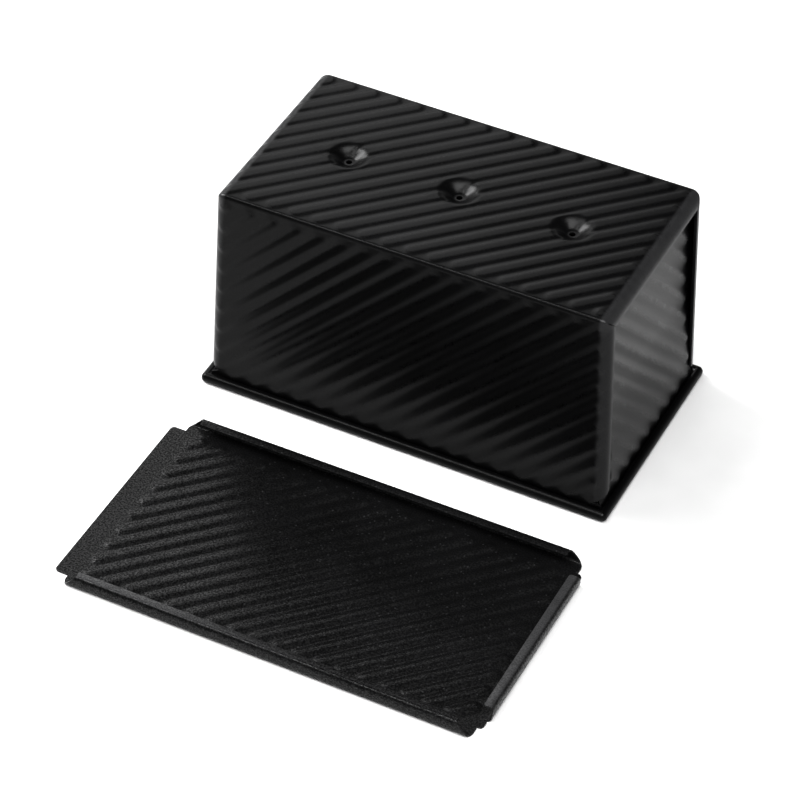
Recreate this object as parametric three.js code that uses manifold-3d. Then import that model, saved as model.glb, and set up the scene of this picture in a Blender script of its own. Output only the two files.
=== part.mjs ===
// Ribbed loaf pan with a slide-on lid, in millimetres, +Z up.
// The pan stands upside down on its rolled rim; the lid lies in front of it with its channels up.
import * as THREE from 'three';
import { mergeGeometries, mergeVertices } from 'three/addons/utils/BufferGeometryUtils.js';
import Module from 'manifold-3d';

// Sheet and fits
const SHEET = 0.8;            // coated steel sheet
const SEAM_GAP = 0.3;         // between sheets or wire nested in one another
const MITRE_GAP = 0.3;        // between two rims where they meet at a corner
const LID_CLEARANCE = 0.35;   // around the rolled rim inside the lid's channels
const LIP_CLEARANCE = 0.5;    // between a lid lip and the pan wall it passes

// Pan body
const RIM_LENGTH = 213;
const RIM_WIDTH = 118.6;
const RIM_BEAD = 5;           // outside diameter of the rolled rim
const PAN_HEIGHT = 114.5;     // rim to the flat of the base
const SIDE_FLARE = 1.8;       // how far each long wall leans out from base to rim
const END_FLARE = 4.3;        // how far each end leans out from base to rim
const END_SETBACK = 2.9;      // from the rim's outer edge back to the hem, at the rim
const FOLD_RADIUS = 2;        // outside radius between base and long walls

// End hems, the curled edges that clasp the end panels
const HEM_RADIUS = 5.5;
const HEM_TAIL = 1;           // flat left over past the quarter round
const HEM_FOOT = 3;           // clear height between rim and hem
const SLIT_WIDTH = 0.4;       // open mitre at each hem corner
const END_RECESS = 3.6;       // end panel face behind the face of the hem
const END_FLARE_HEIGHT = 4;   // height over which an end panel swings out to its rim

// Ribs pressed at 45 degrees
const RIB_PITCH = 8.3;
const RIB_FOOT = 6.2;         // width where a rib leaves the sheet
const RIB_HEIGHT = 0.9;
const LID_RIB_PITCH = 7.6;
const FOLD_MARGIN = 2.6;      // plain border along the base folds
const HEM_MARGIN = 0.2;       // plain border along the hems
const RIM_MARGIN = 5;         // plain border above the rim
const END_MARGIN = 7.2;       // plain border around the ribs of an end panel
const BASE_PHASE = 0;         // where the middle rib lies, as a share of the pitch
const WALL_PHASE = 0.5;
const END_PHASE = 0.78;
const LID_PHASE = 0;

// Vents in the base, dished inwards
const VENT_COUNT = 3;
const VENT_SPACING = 57.1;
const VENT_MOUTH = 19;        // diameter at the base
const VENT_FLOOR = 7.2;       // diameter of the flat floor
const VENT_HOLE = 3;
const VENT_DEPTH = 3.2;

// Lid
const LID_OVERHANG = 1.2;     // open end past the rim when the lid is home
const LID_TAB = 7.3;          // flat tongue beyond the long channels
const LID_TAB_INSET = 2.6;    // how far the tongue is narrower than the plate
const LID_CORNER = 2;         // corner radius of the plate
const CHANNEL_SLANT = 8;      // long lips are shorter than their foot by this at each end
const CHANNEL_STOP = 0.5;     // long channels stop short of the end channel's bend
const END_CHANNEL_SLANT = 3;
const LID_EAR_LENGTH = 2;     // flat corner beside the end channel
const LID_EAR_WIDTH = 5;
const LID_EAR_INSET = 4.1;    // how far the corners stand in from the plate's sides
const LID_MARGIN = 4.5;       // plain border of the lid along its channels
const LID_END_MARGIN = 12;    // plain border of the lid at its open end
const LID_GAP = 27.7;         // floor between the pan and the lid
const LID_SHIFT = 5.3;        // lid centre along the length from the pan centre

// Facets
const BEAD_SIDES = 16;        // facets in a full turn of the rolled rim
const BEAD_FACETS = 12;       // facets that the roll really has before its open edge
const ARC_STEPS = 3;
const HEM_STEPS = 4;
const CHANNEL_STEPS = 8;
const WIRE_SIDES = 10;
const VENT_SIDES = 16;

// Sizes that follow
const BEAD_R = RIM_BEAD / 2;
const HALF_LENGTH = RIM_LENGTH / 2;
const HALF_WIDTH = RIM_WIDTH / 2;
const RIM_WALL = HALF_WIDTH - RIM_BEAD + SHEET;     // half width over the long walls at the rim
const BASE_HALF = RIM_WALL - SIDE_FLARE;
const BASE_END = HALF_LENGTH - END_SETBACK - END_FLARE;
const BEAD_HALF_STEP = Math.PI / BEAD_SIDES;
const MITRE_SET = MITRE_GAP * Math.SQRT1_2;
const HEM_START = RIM_BEAD + HEM_FOOT;
const NOTCH_Z = RIM_BEAD + HEM_FOOT / 4;
const FLANGE_RADIUS = HEM_RADIUS - SHEET - SEAM_GAP;
const WIRE_RADIUS = BEAD_R - SHEET - SEAM_GAP;
const CHANNEL_RADIUS = BEAD_R + LID_CLEARANCE + SHEET;
const LID_HALF = HALF_WIDTH + LID_CLEARANCE + SHEET;
const LID_RIGHT = HALF_LENGTH + LID_CLEARANCE + SHEET;
const LID_LEFT = -(HALF_LENGTH + LID_OVERHANG);
const LID_SIDE = LID_HALF - CHANNEL_RADIUS;         // bend lines of the long channels
const LID_BEND = LID_RIGHT - CHANNEL_RADIUS;        // bend line of the end channel
const LID_TONGUE = LID_SIDE - LID_TAB_INSET;        // half width of the tongue
const LID_FOOT = [LID_LEFT + LID_TAB, LID_BEND - CHANNEL_STOP];
const LID_EAR_SIDE = LID_SIDE - LID_EAR_INSET;      // half width over the flat corners
const END_CHANNEL_HALF = LID_EAR_SIDE - LID_EAR_WIDTH;
const ROOT = SHEET / 5;       // how deep a joining edge is tucked into its neighbour's thickness

const wasm = await Module();
wasm.setup();

function solid(geometry) {
  const bare = geometry.clone();
  bare.deleteAttribute('normal');
  bare.deleteAttribute('uv');
  const merged = mergeVertices(bare);
  return new wasm.Manifold(new wasm.Mesh({
    numProp: 3,
    vertProperties: new Float32Array(merged.attributes.position.array),
    triVerts: new Uint32Array(merged.index.array),
  }));
}

function geometryOf(body) {
  const mesh = body.getMesh();
  const geometry = new THREE.BufferGeometry();
  geometry.setAttribute('position', new THREE.BufferAttribute(mesh.vertProperties, 3));
  geometry.setIndex(new THREE.BufferAttribute(mesh.triVerts, 1));
  geometry.computeVertexNormals();
  return geometry;
}

function enclosedVolume(points, index) {
  let sum = 0;
  for (let i = 0; i < index.length; i += 3) {
    const [a, b, c] = [points[index[i]], points[index[i + 1]], points[index[i + 2]]];
    sum += a.dot(b.clone().cross(c)) / 6;
  }
  return sum;
}

// A closed skin over a row of rings of equal length. The flat outline, one point for each ring
// point, says how the two end rings are filled in.
function loft(rings, outline) {
  const count = outline.length;
  const points = rings.flat();
  const index = [];
  for (let r = 0; r + 1 < rings.length; r += 1) {
    for (let i = 0; i < count; i += 1) {
      const a = r * count + i;
      const b = r * count + (i + 1) % count;
      index.push(a, b, b + count, a, b + count, a + count);
    }
  }
  const turn = Math.sign(THREE.ShapeUtils.area(outline));
  const last = (rings.length - 1) * count;
  for (const [a, b, c] of THREE.ShapeUtils.triangulateShape(outline, [])) {
    const way = turn * THREE.ShapeUtils.area([outline[a], outline[b], outline[c]]);
    const [p, q] = way > 0 ? [b, c] : [c, b];
    index.push(a, q, p, last + a, last + p, last + q);
  }
  if (enclosedVolume(points, index) < 0) index.reverse();
  const geometry = new THREE.BufferGeometry().setFromPoints(points);
  geometry.setIndex(index);
  return geometry;
}

const mirrorY = (p) => new THREE.Vector2(-p.x, p.y);
const flat = (x, y) => new THREE.Vector2(x, y);

// Pan outline: half width of the outer face, and where a hem ends and starts its bend
function wallHalf(z) {
  return THREE.MathUtils.mapLinear(z, BEAD_R, PAN_HEIGHT, RIM_WALL, BASE_HALF);
}
function endX(z) {
  return THREE.MathUtils.mapLinear(z, BEAD_R, PAN_HEIGHT, BASE_END + END_FLARE, BASE_END);
}
const bendX = (z) => endX(z) - HEM_RADIUS;
const rimMitreX = (y) => HALF_LENGTH - (HALF_WIDTH - Math.abs(y)) - MITRE_SET;
const rimMitreY = (x) => HALF_WIDTH - (HALF_LENGTH - x) - MITRE_SET;

// Half section of a rolled rim about its own centre, from the open edge round to the wall
function beadArc(radius) {
  const corner = radius / Math.cos(BEAD_HALF_STEP);
  const points = [];
  for (let k = BEAD_FACETS; k >= 0; k -= 1) {
    const angle = -BEAD_HALF_STEP * (1 + 2 * k);
    points.push(flat(corner * Math.cos(angle), corner * Math.sin(angle)));
  }
  return points;
}

// Front leg, base and back leg of the pan's section, inset from the outer face
function hoodPath(inset, footZ) {
  const radius = Math.max(FOLD_RADIUS - inset, ROOT);
  const cy = BASE_HALF - inset - radius;
  const cz = PAN_HEIGHT - inset - radius;
  const front = [flat(inset - wallHalf(footZ), footZ)];
  for (let k = 0; k <= ARC_STEPS; k += 1) {
    const angle = Math.PI - k / ARC_STEPS * Math.PI / 2;
    front.push(flat(radius * Math.cos(angle) - cy, radius * Math.sin(angle) + cz));
  }
  return [...front, ...front.map(mirrorY).reverse()];
}

// One face of the whole body sheet, rim to rim, as points of its right hand end
function bodyFace(inset) {
  const bead = beadArc(BEAD_R - SHEET + inset).map((p) => flat(p.x - HALF_WIDTH + BEAD_R, p.y + BEAD_R));
  const rim = [...bead, flat(inset - wallHalf(NOTCH_Z), NOTCH_Z)];
  const onMitre = (p) => new THREE.Vector3(rimMitreX(p.x), p.x, p.y);
  const onBend = (p) => new THREE.Vector3(bendX(p.y), p.x, p.y);
  return [
    ...rim.map(onMitre),
    ...hoodPath(inset, HEM_START).map(onBend),
    ...rim.map(mirrorY).reverse().map(onMitre),
  ];
}

function bodySheet() {
  const right = [...bodyFace(SHEET), ...bodyFace(0).reverse()];
  const left = right.map((p) => new THREE.Vector3(-p.x, p.y, p.z));
  return loft([left, right], right.map((p) => flat(p.y, p.z)));
}

// Curled edge strips. A stage holds the inset and reach of the outer and of the inner face.
function curl(angle, radius) {
  return { inset: HEM_RADIUS - radius * Math.cos(angle), reach: radius * Math.sin(angle) };
}
function curlStages(from, to, radius) {
  const stages = [];
  for (let k = 0; k <= HEM_STEPS; k += 1) {
    const angle = from + (to - from) * k / HEM_STEPS;
    stages.push({ outer: curl(angle, radius), inner: curl(angle, radius - SHEET) });
  }
  return stages;
}
function curledStrip(stages, footRise) {
  const face = ({ inset, reach }) => hoodPath(inset, HEM_START + footRise * inset)
    .map((p) => new THREE.Vector3(bendX(p.y) + reach, p.x, p.y));
  const rings = stages.map(({ outer, inner }) => [...face(outer), ...face(inner).reverse()]);
  return loft(rings, rings[0].map((p) => flat(p.y, p.z)));
}

function hem() {
  const tucked = {
    outer: { inset: ROOT, reach: -SHEET },
    inner: { inset: SHEET - ROOT, reach: -SHEET },
  };
  const tail = {
    outer: { inset: HEM_RADIUS + HEM_TAIL, reach: HEM_RADIUS },
    inner: { inset: HEM_RADIUS + HEM_TAIL, reach: HEM_RADIUS - SHEET },
  };
  const round = curlStages(0, Math.PI / 2, HEM_RADIUS);
  return curledStrip([tucked, ...round, tail], 0.6);
}

// Thin cut down the mitre of a hem corner, on the back side for side = 1
function hemSlit(side) {
  const inward = (HEM_RADIUS + HEM_TAIL) * Math.SQRT2 + SHEET;
  const start = bendX(PAN_HEIGHT) + HEM_RADIUS * 0.6;
  const reach = HEM_RADIUS;
  const cut = new THREE.BoxGeometry(reach, SLIT_WIDTH, inward);
  cut.translate(start + reach / 2, 0, SHEET - inward / 2);
  cut.rotateX(-side * Math.PI / 4);
  cut.translate(0, side * BASE_HALF, PAN_HEIGHT);
  return cut;
}

// Ribs. The field is a convex outline in panel coordinates, ribs rise to the right for way = 1.
function ribLines(field, way, pitch, phase) {
  const along = flat(Math.SQRT1_2, way * Math.SQRT1_2);
  const across = flat(-way * Math.SQRT1_2, Math.SQRT1_2);
  const reach = field.map((p) => p.dot(across));
  const first = Math.ceil(Math.min(...reach) / pitch - phase);
  const last = Math.floor(Math.max(...reach) / pitch - phase);
  const lines = [];
  for (let k = first; k <= last; k += 1) {
    const start = across.clone().multiplyScalar((k + phase) * pitch);
    let [low, high] = [-Infinity, Infinity];
    field.forEach((p, i) => {
      const edge = field[(i + 1) % field.length].clone().sub(p);
      const depth = edge.cross(start.clone().sub(p));
      const rate = edge.cross(along);
      if (rate > 0) low = Math.max(low, -depth / rate);
      if (rate < 0) high = Math.min(high, -depth / rate);
    });
    const middle = start.clone().addScaledVector(along, (low + high) / 2);
    if (high - low > 2 * RIB_FOOT) lines.push({ middle, half: (high - low) / 2 });
  }
  return lines;
}

// Bars with pointed ends and 45 degree flanks between two heights over the panel face
function ribBars(lines, way, low, high, slim) {
  const bars = lines.map(({ middle, half }) => {
    const ring = (height) => {
      const b = RIB_FOOT / 2 - height - slim;
      const a = half - (height + slim) * Math.SQRT2;
      return [[-a, 0], [b - a, -b], [a - b, -b], [a, 0], [a - b, b], [b - a, b]]
        .map(([s, w]) => new THREE.Vector3(s, w, height));
    };
    const outline = ring(low);
    const bar = loft([outline, ring(high)], outline.map((p) => flat(p.x, p.y)));
    bar.rotateZ(way * Math.PI / 4);
    return bar.translate(middle.x, middle.y, 0);
  });
  return mergeGeometries(bars);
}

// Presses ribs into a sheet: bars on its outer face, matching hollows under them
function pressRibs(body, field, way, { pitch, phase }, frame) {
  const lines = ribLines(field, way, pitch, phase);
  const bars = ribBars(lines, way, -ROOT, RIB_HEIGHT, 0);
  const hollows = ribBars(lines, way, -SHEET - ROOT, RIB_HEIGHT - SHEET, SHEET * Math.SQRT2);
  return body.add(solid(bars.applyMatrix4(frame))).subtract(solid(hollows.applyMatrix4(frame)));
}

function panelFrame(origin, right, up) {
  const out = right.clone().cross(up);
  return new THREE.Matrix4().makeBasis(right, up, out).setPosition(origin);
}

const AXIS_X = new THREE.Vector3(1, 0, 0);
const AXIS_Y = new THREE.Vector3(0, 1, 0);

function baseRibs(body) {
  const u = bendX(PAN_HEIGHT) - HEM_MARGIN;
  const v = BASE_HALF - FOLD_MARGIN;
  const field = [flat(-u, -v), flat(u, -v), flat(u, v), flat(-u, v)];
  const frame = panelFrame(new THREE.Vector3(0, 0, PAN_HEIGHT), AXIS_X, AXIS_Y);
  return pressRibs(body, field, 1, { pitch: RIB_PITCH, phase: BASE_PHASE }, frame);
}

function wallRibs(body, side) {
  const up = new THREE.Vector3(0, -side * SIDE_FLARE, PAN_HEIGHT - BEAD_R).normalize();
  const low = RIM_BEAD + RIM_MARGIN - PAN_HEIGHT;
  const high = -FOLD_MARGIN;
  const u = (v) => bendX(PAN_HEIGHT + v) - HEM_MARGIN;
  const field = [flat(-u(low), low), flat(u(low), low), flat(u(high), high), flat(-u(high), high)];
  const origin = new THREE.Vector3(0, side * BASE_HALF, PAN_HEIGHT);
  const right = AXIS_X.clone().multiplyScalar(-side);
  const row = { pitch: RIB_PITCH, phase: WALL_PHASE };
  return pressRibs(body, field, 1, row, panelFrame(origin, right, up));
}

// Dished vent: a hole is cut in the ribbed base and the dish is set into it
function addVent(body, x) {
  const mouth = VENT_MOUTH / 2;
  const floor = VENT_FLOOR / 2;
  const hole = VENT_HOLE / 2;
  const lap = mouth + SHEET;
  const brim = RIB_HEIGHT / 2;
  const profile = [
    flat(lap, -SHEET), flat(lap, brim), flat(mouth - SHEET / 2, brim),
    flat(floor, -VENT_DEPTH), flat(hole, -VENT_DEPTH), flat(hole, -VENT_DEPTH - SHEET),
    flat(floor, -VENT_DEPTH - SHEET), flat(mouth - SHEET / 2, -SHEET), flat(lap, -SHEET),
  ];
  const place = (shape) => solid(shape.rotateX(Math.PI / 2).translate(x, 0, PAN_HEIGHT));
  const cut = new THREE.CylinderGeometry(mouth, mouth, 4 * VENT_DEPTH, VENT_SIDES);
  return body.subtract(place(cut)).add(place(new THREE.LatheGeometry(profile, VENT_SIDES)));
}

function panBody() {
  const end = hem();
  let body = solid(bodySheet());
  body = wallRibs(body, -1);
  body = wallRibs(body, 1);
  body = baseRibs(body);
  for (let i = 0; i < VENT_COUNT; i += 1) {
    body = addVent(body, (i - (VENT_COUNT - 1) / 2) * VENT_SPACING);
  }
  for (const turn of [0, Math.PI]) {
    body = body.add(solid(end.clone().rotateZ(turn)));
    for (const side of [-1, 1]) body = body.subtract(solid(hemSlit(side).rotateZ(turn)));
  }
  return geometryOf(body);
}

// End panel for the right hand end: ribbed plate, hooked flange and its own stretch of rim
function endPanel() {
  const faceReach = HEM_RADIUS - END_RECESS;
  const faceX = (z) => bendX(z) + faceReach;
  const middle = FLANGE_RADIUS - SHEET / 2;
  const edge = HEM_RADIUS - Math.sqrt(middle ** 2 - (faceReach - SHEET / 2) ** 2);
  const flareTop = RIM_BEAD + END_FLARE_HEIGHT;

  const top = PAN_HEIGHT - edge;
  const half = (z) => wallHalf(z) - edge;
  const [wide, narrow] = [half(flareTop), half(top)];
  const outline = [flat(-wide, flareTop), flat(wide, flareTop), flat(narrow, top), flat(-narrow, top)];
  const plateFace = (depth) => outline.map((p) => new THREE.Vector3(faceX(p.y) - depth, p.x, p.y));
  const plate = loft([plateFace(SHEET), plateFace(0)], outline);

  const start = Math.asin((faceReach - SHEET - ROOT) / FLANGE_RADIUS);
  const flange = curledStrip(curlStages(start, Math.PI / 2, FLANGE_RADIUS), 0.6);

  const rimFace = (inset) => {
    const bead = beadArc(BEAD_R - SHEET + inset).map((p) => flat(HALF_LENGTH - BEAD_R - p.x, p.y + BEAD_R));
    const tuck = inset > 0 ? ROOT : -ROOT;
    return [
      ...bead,
      flat(faceX(flareTop) - inset, flareTop),
      flat(faceX(flareTop + SHEET) - inset + tuck, flareTop + SHEET),
    ];
  };
  const section = [...rimFace(SHEET), ...rimFace(0).reverse()];
  const rimEnd = (side) => section.map((p) => new THREE.Vector3(p.x, side * rimMitreY(p.x), p.y));
  const rim = loft([rimEnd(-1), rimEnd(1)], section);

  const up = new THREE.Vector3(-END_FLARE, 0, PAN_HEIGHT - BEAD_R).normalize();
  const low = flareTop + RIM_MARGIN - PAN_HEIGHT;
  const high = -END_MARGIN;
  const u = (v) => wallHalf(PAN_HEIGHT + v) - END_MARGIN;
  const field = [flat(-u(low), low), flat(u(low), low), flat(u(high), high), flat(-u(high), high)];
  const frame = panelFrame(new THREE.Vector3(faceX(PAN_HEIGHT), 0, PAN_HEIGHT), AXIS_Y, up);

  const body = solid(plate).add(solid(flange)).add(solid(rim));
  return geometryOf(pressRibs(body, field, -1, { pitch: RIB_PITCH, phase: END_PHASE }, frame));
}

// Rim wire: one length bent round inside the rolled rim, its ends butted behind the back wall
function rimWire() {
  const x = HALF_LENGTH - BEAD_R;
  const y = HALF_WIDTH - BEAD_R;
  const butt = SEAM_GAP / 2;
  const stations = [
    [-butt, y, 0, 1], [-x, y, -1, 1], [-x, -y, -1, -1], [x, -y, 1, -1], [x, y, 1, 1], [butt, y, 0, 1],
  ];
  const outline = [];
  for (let i = 0; i < WIRE_SIDES; i += 1) {
    const angle = i / WIRE_SIDES * 2 * Math.PI;
    outline.push(flat(WIRE_RADIUS * Math.cos(angle), WIRE_RADIUS * Math.sin(angle)));
  }
  const rings = stations.map(([px, py, ox, oy]) => outline
    .map((p) => new THREE.Vector3(px + ox * p.x, py + oy * p.x, BEAD_R + p.y)));
  return loft(rings, outline);
}

// Lid plate with a tongue at the open end and a small flat ear at each corner of the closed end
function lidPlate() {
  const ear = LID_BEND + LID_EAR_LENGTH;
  const stop = END_CHANNEL_HALF + SEAM_GAP;
  const [side, tab, corner] = [LID_SIDE, LID_TONGUE, LID_EAR_SIDE];
  const [foot, r] = [LID_FOOT, LID_CORNER];
  const shape = new THREE.Shape();
  shape.moveTo(LID_LEFT, r - tab);
  shape.absarc(LID_LEFT + r, r - tab, r, Math.PI, 1.5 * Math.PI, false);
  shape.lineTo(foot[0], -tab);
  shape.lineTo(foot[0], -side);
  shape.lineTo(foot[1], -side);
  shape.lineTo(foot[1], -corner);
  shape.absarc(ear - r, r - corner, r, -0.5 * Math.PI, 0, false);
  shape.lineTo(ear, -stop);
  shape.lineTo(LID_BEND, -stop);
  shape.lineTo(LID_BEND, stop);
  shape.lineTo(ear, stop);
  shape.absarc(ear - r, corner - r, r, 0, 0.5 * Math.PI, false);
  shape.lineTo(foot[1], corner);
  shape.lineTo(foot[1], side);
  shape.lineTo(foot[0], side);
  shape.lineTo(foot[0], tab);
  shape.absarc(LID_LEFT + r, tab - r, r, 0.5 * Math.PI, Math.PI, false);
  shape.closePath();
  return new THREE.ExtrudeGeometry(shape, { depth: SHEET, bevelEnabled: false, curveSegments: ARC_STEPS });
}

// Curled channel standing on the lid's edge, drawn along +X with its mouth towards -Y.
// The section is measured from the bend line; its ends slant in from foot to lip.
function lidChannel(footFrom, footTo, slant) {
  const lip = LID_SIDE - RIM_WALL - LIP_CLEARANCE;
  const face = (radius, tuck) => {
    const points = [flat(-SHEET, CHANNEL_RADIUS - radius + tuck)];
    for (let k = 0; k <= CHANNEL_STEPS; k += 1) {
      const angle = Math.PI * (k / CHANNEL_STEPS - 0.5);
      points.push(flat(radius * Math.cos(angle), CHANNEL_RADIUS + radius * Math.sin(angle)));
    }
    points.push(flat(-lip, CHANNEL_RADIUS + radius));
    return points;
  };
  const outer = face(CHANNEL_RADIUS, ROOT);
  const inner = face(CHANNEL_RADIUS - SHEET, -ROOT);
  const section = [...outer, ...inner.reverse()];
  const rise = (p) => slant * p.y / (2 * CHANNEL_RADIUS);
  const ends = [
    section.map((p) => new THREE.Vector3(footFrom + rise(p), p.x, p.y)),
    section.map((p) => new THREE.Vector3(footTo - rise(p), p.x, p.y)),
  ];
  return loft(ends, section);
}

function lid() {
  let body = solid(lidPlate());
  const back = lidChannel(LID_FOOT[0], LID_FOOT[1], CHANNEL_SLANT).translate(0, LID_SIDE, 0);
  const front = lidChannel(-LID_FOOT[1], -LID_FOOT[0], CHANNEL_SLANT).rotateZ(Math.PI);
  front.translate(0, -LID_SIDE, 0);
  const end = lidChannel(-END_CHANNEL_HALF, END_CHANNEL_HALF, END_CHANNEL_SLANT);
  end.rotateZ(-Math.PI / 2).translate(LID_BEND, 0, 0);
  for (const channel of [back, front, end]) body = body.add(solid(channel));
  const [u0, u1] = [LID_LEFT + LID_END_MARGIN, LID_BEND - LID_MARGIN];
  const v = LID_SIDE - LID_MARGIN;
  const field = [flat(u0, -v), flat(u1, -v), flat(u1, v), flat(u0, v)];
  const frame = panelFrame(new THREE.Vector3(0, 0, SHEET), AXIS_X, AXIS_Y);
  return geometryOf(pressRibs(body, field, 1, { pitch: LID_RIB_PITCH, phase: LID_PHASE }, frame));
}

// Finishes
const panCoat = new THREE.MeshStandardMaterial({ color: 0x1d1d1f, roughness: 0.5, metalness: 0.2 });
const endCoat = new THREE.MeshStandardMaterial({ color: 0x202022, roughness: 0.5, metalness: 0.2 });
const lidCoat = new THREE.MeshStandardMaterial({ color: 0x242426, roughness: 0.6, metalness: 0.2 });
const steel = new THREE.MeshStandardMaterial({ color: 0x8b8e92, roughness: 0.35, metalness: 0.9 });

function piece(name, geometry, material) {
  const mesh = new THREE.Mesh(geometry, material);
  mesh.name = name;
  return mesh;
}

const pan = new THREE.Group();
pan.add(piece('pan_body', panBody(), panCoat));
const endGeometry = endPanel();
pan.add(piece('right_end_panel', endGeometry, endCoat));
const leftEnd = piece('left_end_panel', endGeometry, endCoat);
leftEnd.rotation.z = Math.PI;
pan.add(leftEnd);
pan.add(piece('rim_wire', rimWire(), steel));

const lidMesh = piece('lid', lid(), lidCoat);
lidMesh.position.set(LID_SHIFT, -(HALF_WIDTH + LID_GAP + LID_HALF), 0);

// The set is placed with the middle of its footprint over the origin
const set = new THREE.Group();
set.add(pan, lidMesh);
const box = new THREE.Box3().setFromObject(set);
const middle = box.getCenter(new THREE.Vector3());
set.position.set(-middle.x, -middle.y, -box.min.z);

export default set;
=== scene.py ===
# %% [markdown]
# A ribbed loaf pan stands upside down on its rolled rim, and its slide-on lid lies in front of it.
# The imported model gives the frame: where each piece is and which body it moves with.
# Everything below is drawn in millimetres about the middle of the pan or of the lid, and is turned
# into metres in the frame when a piece is made, so that the sizes read like a workshop drawing.

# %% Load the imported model
import math
import bpy
import numpy as np
from mathutils import Matrix, Vector


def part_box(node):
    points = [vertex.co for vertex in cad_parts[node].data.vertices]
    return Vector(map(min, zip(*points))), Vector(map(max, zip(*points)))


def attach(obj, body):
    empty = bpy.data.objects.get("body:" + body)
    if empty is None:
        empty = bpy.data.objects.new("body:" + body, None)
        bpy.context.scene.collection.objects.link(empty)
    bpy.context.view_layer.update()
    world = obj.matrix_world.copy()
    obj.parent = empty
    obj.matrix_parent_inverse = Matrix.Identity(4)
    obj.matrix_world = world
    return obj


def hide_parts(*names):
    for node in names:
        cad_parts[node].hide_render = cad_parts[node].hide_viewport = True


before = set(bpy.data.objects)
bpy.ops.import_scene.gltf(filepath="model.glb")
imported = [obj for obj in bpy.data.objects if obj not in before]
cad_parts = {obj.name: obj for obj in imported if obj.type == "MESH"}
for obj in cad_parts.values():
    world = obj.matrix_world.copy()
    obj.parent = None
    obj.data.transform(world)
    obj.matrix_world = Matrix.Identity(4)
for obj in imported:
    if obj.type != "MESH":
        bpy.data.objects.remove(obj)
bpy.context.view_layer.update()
scene = bpy.context.scene
MM = 0.001


def middle_of(node):
    low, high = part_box(node)
    return np.array([(low.x + high.x) / 2, (low.y + high.y) / 2, 0.0]) / MM


PAN_AT = middle_of("pan_body")
LID_AT = middle_of("lid")
print("pan at", PAN_AT.round(2), "lid at", LID_AT.round(2))

# %% [markdown]
# The camera stands in front of the pan, a little to its right, and looks down at about 42 degrees
# from far away, so the perspective is mild. Its place was found by fitting the pan's edges. It could be
# aimed with a tracking constraint, but a matrix built from the three view axes also holds the slight roll.

# %% Camera
AZIMUTH, ELEVATION, ROLL = math.radians(25.672), math.radians(41.987), math.radians(1.303)
DISTANCE = 1550.64
AIM = PAN_AT + np.array([3.792, -66.108, 40.0])
FOCAL_PIXELS = 3363.4
HALF_PICTURE = 400

back = Vector((math.sin(AZIMUTH) * math.cos(ELEVATION),
               -math.cos(AZIMUTH) * math.cos(ELEVATION),
               math.sin(ELEVATION)))
right = Vector((math.cos(AZIMUTH), math.sin(AZIMUTH), 0))
up = back.cross(right)
tilted_right = right * math.cos(ROLL) + up * math.sin(ROLL)
tilted_up = up * math.cos(ROLL) - right * math.sin(ROLL)
camera = bpy.data.objects.new("camera", bpy.data.cameras.new("camera"))
camera.data.angle = 2 * math.atan(HALF_PICTURE / FOCAL_PIXELS)
camera.data.clip_end = 20
spin = Matrix((tilted_right, tilted_up, back)).transposed()
camera.matrix_world = Matrix.Translation(Vector(AIM * MM) + back * DISTANCE * MM) @ spin.to_4x4()
scene.collection.objects.link(camera)
scene.camera = camera
print("camera at", [round(v, 3) for v in camera.location])

# %% [markdown]
# Every part of the pan and lid is pressed or curled from one thickness of sheet. A flat grid with a
# Solidify modifier would do for a plain plate, but the sheets here are made of several grids: a wall, its
# fold, its curled hem. So the outer face is drawn as grids of points that share their meeting edges, the
# grids are welded, and the inner face is the same face moved inwards by the thickness, with a strip along
# every open edge. Each point also keeps three marks for the finish: whether it lies on a cut edge, how
# much it stands out as a crest, and how much painted sheen it takes, a paler colour painted on hems and
# lips where light would catch them.

# %% Thick sheet from grids of points
SHEET = 0.8
WELD = 0.002
SHARP_ANGLE = math.radians(48)


def weld(grids):
    points, quads, start = [], [], 0
    for grid, keep in grids:
        rows, columns = grid.shape[:2]
        number = start + np.arange(rows * columns).reshape(rows, columns)
        cells = np.stack([number[:-1, :-1], number[:-1, 1:], number[1:, 1:], number[1:, :-1]], axis=-1)
        quads.append(cells[keep] if keep is not None else cells.reshape(-1, 4))
        points.append(grid.reshape(-1, 3))
        start += rows * columns
    points, quads = np.concatenate(points), np.concatenate(quads)
    near = np.round(points / WELD).astype(np.int64)
    _, first, merged = np.unique(near, axis=0, return_index=True, return_inverse=True)
    points, quads = points[first], merged.reshape(-1)[quads]
    used, quads = np.unique(quads, return_inverse=True)
    return points[used], quads.reshape(-1, 4)


def gathered(count, index, values):
    total = np.zeros((count, 3))
    for axis in range(3):
        total[:, axis] = np.bincount(index, values[:, axis], count)
    return total


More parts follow.
